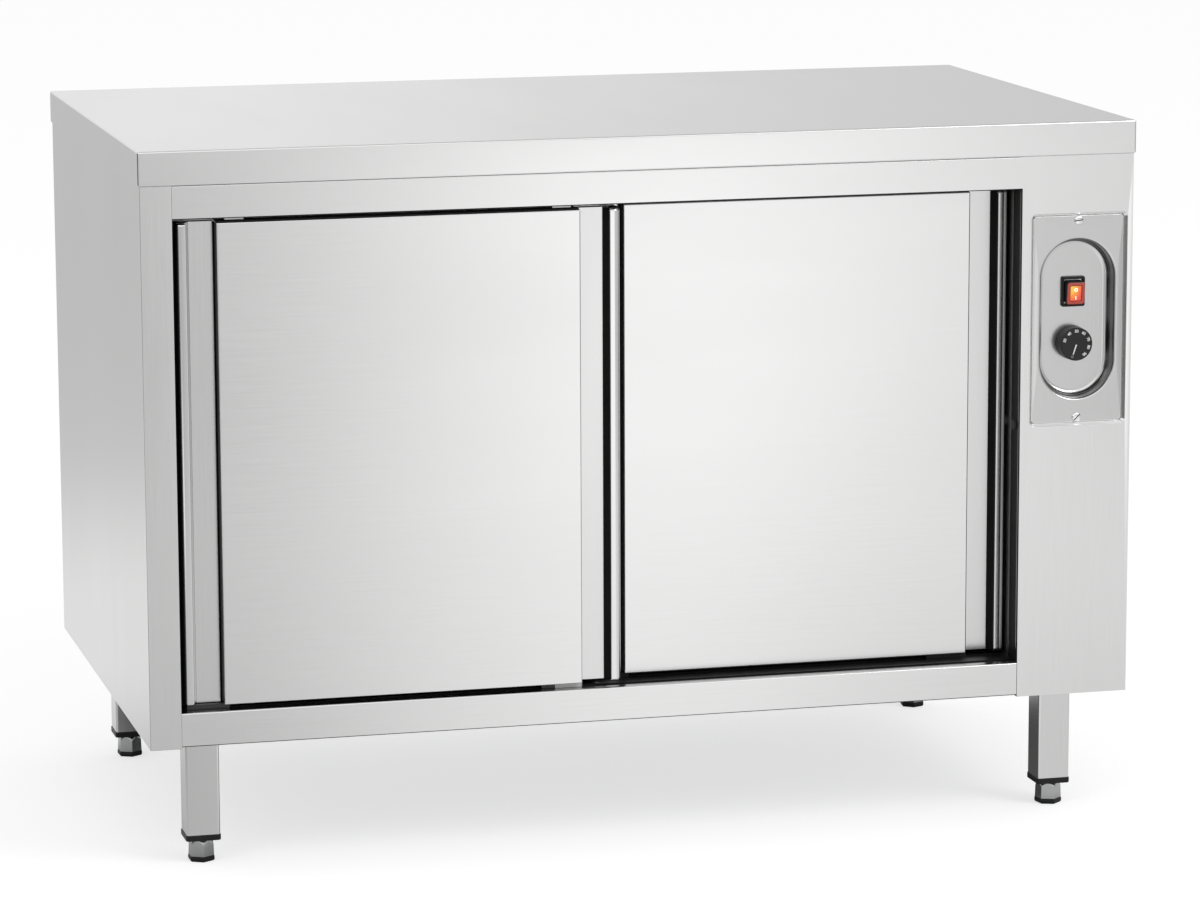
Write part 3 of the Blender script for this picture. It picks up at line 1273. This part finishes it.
def makeVentRims(size):
    w, h, rim = size["half"] * 2, size["height"], size["rim"]
    profile = ((0, 0.0004), (0, -0.0003), (rim * 0.5, -0.0006), (rim * 1.5, -0.0003), (rim * 2, 0.0002))
    bm = bmesh.new()
    loft(bm, [[(u, y, v) for u, v in roundRect(w + 2 * out, h + 2 * out, size["corner"] + out, 4)]
              for out, y in profile])
    mesh = meshFrom(bm, "ventRim", "panelSteel")
    mesh.transform(Matrix.Rotation(math.pi, 4, "Z"))
    growRims("ventRims", mesh, rowTree, {"Count": size["rows"], "Start": size["start"],
                                         "Step": (0, 0, size["pitch"]), "Material": finish["panelSteel"]})


def makeGrilleRims(size):
    hole, rim = size["hole"], size["rim"]
    bm = bmesh.new()
    lathe(bm, [(hole, 0.0003), (hole, -0.0004), (hole + rim * 0.6, -0.0007), (hole + rim * 1.4, -0.0004),
               (hole + rim * 1.8, 0.0002)], (0, 0, 0), axis="x", count=20)
    growRims("grilleRims", meshFrom(bm, "holeRim", "linerSteel"), patternTree,
             {"Across": size["across"], "Pitch": size["pitch"], "Reach": size["reach"],
              "Centre": size["centre"], "Material": finish["linerSteel"]})


makeVentRims(vent)
makeGrilleRims(grille)


# ---- finishes of the nodes that stay as they are ----

nodeFinish = {
    "linerSteel": ["inner_floor", "liner_left", "liner_back", "liner_top", "partition_wall", "air_grille"],
    "doorSteel": ["door_left_back", "door_right_back"],
    "galvanized": ["worktop_stiffeners", "base_panel", "upper_track", "shelf_supports", "heater_housing",
                   "door_left_hangers", "door_right_hangers"],
    "wool": ["insulation_panels"],
    "darkWool": ["door_left_core", "door_right_core"],
    "blackNylon": ["lower_guide", "cable_gland", "door_right_guides"],
    "rubber": ["door_buffers"],
    "motorPaint": ["fan_motor"],
    "aluminium": ["fan_impeller"],
    "elementSteel": ["heating_element"],
    "phenolic": ["thermostat_body"],
    "screwSteel": ["thermostat_spindle"],
    "copper": ["sensor_tube"],
    "whitePlastic": ["terminal_block"],
    "tabNylon": ["door_left_guides"],
    "wire": ["wiring_loom"],
}
for material, names in nodeFinish.items():
    for name in names:
        for slot in nodes[name].material_slots:
            slot.material = finish[material]
print("frame nodes painted")


# ---- floor, surroundings and lamps ----

surround = {
    "floorSize": 24.0, "floorColor": 0.52, "floorLift": 0.62, "skyFill": 0.85,
    # light on the floor as the front sees it: (degrees about the apex, level)
    "fanApex": (-1.446, 5.055),
    "fan": [(0, 0.7), (6, 0.72), (9.5, 0.79), (10.7, 0.95), (12, 1.17), (13.6, 1.4), (15, 1.5), (16.5, 1.44),
            (18, 1.27), (20, 1.09), (22.5, 0.98), (30, 0.85)],
    "nearFar": [(0.3, 0.8), (1.4, 0.82), (3.1, 0.97), (5.0, 1.05), (7.5, 1.11)],
    "sideNearFar": [(0.3, 0.9), (1.3, 0.97), (2.3, 1.06), (3.7, 0.84), (5.0, 0.88), (7.5, 0.96)],
    "sideShare": [(0, 1), (8.5, 0.95), (13, 0.2), (15.5, 0), (18, 0.1), (22, 0.9), (30, 1)],
    "rear": [(0.1, 0.62), (0.6, 0.88), (1.3, 0.93), (2.4, 0.7), (5.0, 0.64)],
    "rearFrom": (-0.3, 0.25), "under": 0.11, "underEdge": (-0.12, 0.02), "half": (0.6, 0.35),
    # what the rounded edges that turn to the left show: a dark side with a bright spot in front of it
    "leftDark": {"level": 0.22, "x": (-1.5, -0.95), "y": (-1.9, -1.3, -0.1, 0.5)},
    "leftSpot": {"place": (-1.7, -2.5), "reach": (0.34, 0.85), "gain": 0.9},
    # level of the surroundings behind the worktop: (degrees from the back towards the right, level)
    "behind": [(-10, 1.2), (8, 1.23), (12, 1.14), (19, 0.92), (30, 0.86), (60, 0.85)],
    # darker on the left, and brighter overhead in front for the light along the folded edges
    "lobes": [{"towards": (-1, -0.1, 0.05), "cosines": (0.75, 0.97), "gain": -0.9},
              {"towards": (0.1, -0.75, 0.65), "cosines": (0.75, 1.0), "gain": 0.9}],
}


def rampOf(tree, value, stops):
    # smooth curve through (value, level) pairs
    low, high = stops[0][0], stops[-1][0]
    most = max(level for _, level in stops)
    ramp = addNode(tree, "ShaderNodeValToRGB", {0: spread(tree, value, 0, 1, low, high)})
    ramp.color_ramp.interpolation = "CARDINAL"
    setStops(ramp, [((at - low) / (high - low), (level / most,) * 3) for at, level in stops])
    return times(tree, ramp.outputs[0], most)


def degreesOf(tree, opposite, adjacent):
    return times(tree, sums(tree, "ARCTAN2", opposite, adjacent), 180 / math.pi)


def frontLight(tree, parts, distance, size):
    # a soft fan of light about the apex, which fades with the distance in its own way towards the sides
    apexX, apexY = size["fanApex"]
    angle = degreesOf(tree, minus(tree, parts["X"], apexX), minus(tree, apexY, parts["Y"]))
    fade = blend(tree, rampOf(tree, angle, size["sideShare"]), rampOf(tree, distance, size["sideNearFar"]),
                 rampOf(tree, distance, size["nearFar"]))
    return times(tree, rampOf(tree, angle, size["fan"]), fade)


def underShade(tree, parts, size):
    # dark under the cabinet, with a soft border
    outX = minus(tree, sums(tree, "ABSOLUTE", parts["X"], 0), size["half"][0])
    outY = minus(tree, sums(tree, "ABSOLUTE", parts["Y"], 0), size["half"][1])
    return spread(tree, sums(tree, "MAXIMUM", outX, outY), size["under"], 1, *size["underEdge"], smooth=True)


def leftShade(tree, parts, dark):
    y0, y1, y2, y3 = dark["y"]
    along = times(tree, spread(tree, parts["Y"], 0, 1, y0, y1, smooth=True),
                  spread(tree, parts["Y"], 1, 0, y2, y3, smooth=True))
    inside = times(tree, spread(tree, parts["X"], 1, 0, *dark["x"], smooth=True), along)
    return minus(tree, 1, times(tree, inside, 1 - dark["level"]))


def mirroredFloor(tree, coords, size):
    # level of the floor as the metal shows it
    parts = addNode(tree, "ShaderNodeSeparateXYZ", {0: coords}).outputs
    distance = addNode(tree, "ShaderNodeVectorMath", {0: coords}, operation="LENGTH").outputs["Value"]
    isRear = spread(tree, parts["Y"], 0, 1, *size["rearFrom"], smooth=True)
    rear = rampOf(tree, parts["Y"], size["rear"])
    level = blend(tree, isRear, rear, frontLight(tree, parts, distance, size))
    level = times(tree, level, leftShade(tree, parts, size["leftDark"]))
    spot = size["leftSpot"]
    aside = addNode(tree, "ShaderNodeVectorMath", {0: coords, 1: (*spot["place"], 0)}, operation="DISTANCE")
    bright = spread(tree, aside.outputs["Value"], spot["gain"], 0, *spot["reach"], smooth=True)
    return times(tree, plus(tree, level, bright), underShade(tree, parts, size))


def makeFloor(size):
    mesh = bpy.data.meshes.new("floor")
    s = size["floorSize"]
    mesh.from_pydata([(-s, -s, 0), (s, -s, 0), (s, s, 0), (-s, s, 0)], [], [(0, 1, 2, 3)])
    obj = addObject("floor", mesh)
    mat = bpy.data.materials.new("paleFloor")
    mat.use_nodes = True
    tree = mat.node_tree
    tree.nodes.clear()
    out = addNode(tree, "ShaderNodeOutputMaterial")
    coords = addNode(tree, "ShaderNodeTexCoord").outputs["Object"]
    path = addNode(tree, "ShaderNodeLightPath").outputs
    shade = addNode(tree, "ShaderNodeBsdfDiffuse", {"Color": (*[size["floorColor"]] * 3, 1)}).outputs[0]
    # seen by the camera: a white floor that keeps the shadow
    white = addNode(tree, "ShaderNodeEmission", {"Strength": size["floorLift"]}).outputs[0]
    seen = addNode(tree, "ShaderNodeAddShader", {0: shade, 1: white}).outputs[0]
    glossy = addNode(tree, "ShaderNodeEmission", {"Strength": mirroredFloor(tree, coords, size)}).outputs[0]
    mirror = addNode(tree, "ShaderNodeMixShader", {0: path["Is Glossy Ray"], 1: seen, 2: glossy}).outputs[0]
    plain = addNode(tree, "ShaderNodeMixShader", {0: path["Is Diffuse Ray"], 1: mirror, 2: shade}).outputs[0]
    tree.links.new(plain, out.inputs[0])
    mesh.materials.append(mat)


def lobe(tree, direction, look):
    aim = Vector(look["towards"]).normalized()
    dot = addNode(tree, "ShaderNodeVectorMath", {0: direction, 1: aim}, operation="DOT_PRODUCT")
    return spread(tree, dot.outputs["Value"], 0.0, look["gain"], *look["cosines"], smooth=True)


def makeWorld(size):
    world = bpy.data.worlds.new("studio")
    scene.world = world
    world.use_nodes = True
    tree = world.node_tree
    tree.nodes.clear()
    out = addNode(tree, "ShaderNodeOutputWorld")
    direction = addNode(tree, "ShaderNodeTexCoord").outputs["Generated"]
    path = addNode(tree, "ShaderNodeLightPath").outputs
    parts = addNode(tree, "ShaderNodeSeparateXYZ", {0: direction}).outputs
    fill = addNode(tree, "ShaderNodeBackground", {"Strength": size["skyFill"]}).outputs[0]
    white = addNode(tree, "ShaderNodeBackground", {"Color": (1, 1, 1, 1), "Strength": 1.0}).outputs[0]
    level = rampOf(tree, degreesOf(tree, parts["X"], parts["Y"]), size["behind"])
    for look in size["lobes"]:
        level = plus(tree, level, lobe(tree, direction, look))
    glossy = addNode(tree, "ShaderNodeBackground", {"Strength": level}).outputs[0]
    lit = addNode(tree, "ShaderNodeMixShader", {0: path["Is Glossy Ray"], 1: fill, 2: glossy}).outputs[0]
    shown = addNode(tree, "ShaderNodeMixShader", {0: path["Is Camera Ray"], 1: lit, 2: white}).outputs[0]
    tree.links.new(shown, out.inputs[0])


def softBox(name, place, target, size, watts):
    data = bpy.data.lights.new(name, "AREA")
    data.shape = "RECTANGLE"
    data.size, data.size_y = size
    data.energy = watts
    lamp = addObject(name, data)
    lamp.location = place
    lamp.rotation_euler = (Vector(target) - Vector(place)).to_track_quat("-Z", "Y").to_euler()


makeFloor(surround)
makeWorld(surround)
softBox("keyBox", (3.2, -3.4, 3.6), (0, 0, 0.5), (2.4, 2.4), 90)
softBox("fillBox", (-3.4, -2.6, 2.8), (0, 0, 0.5), (2.6, 2.0), 30)
print("surroundings made")
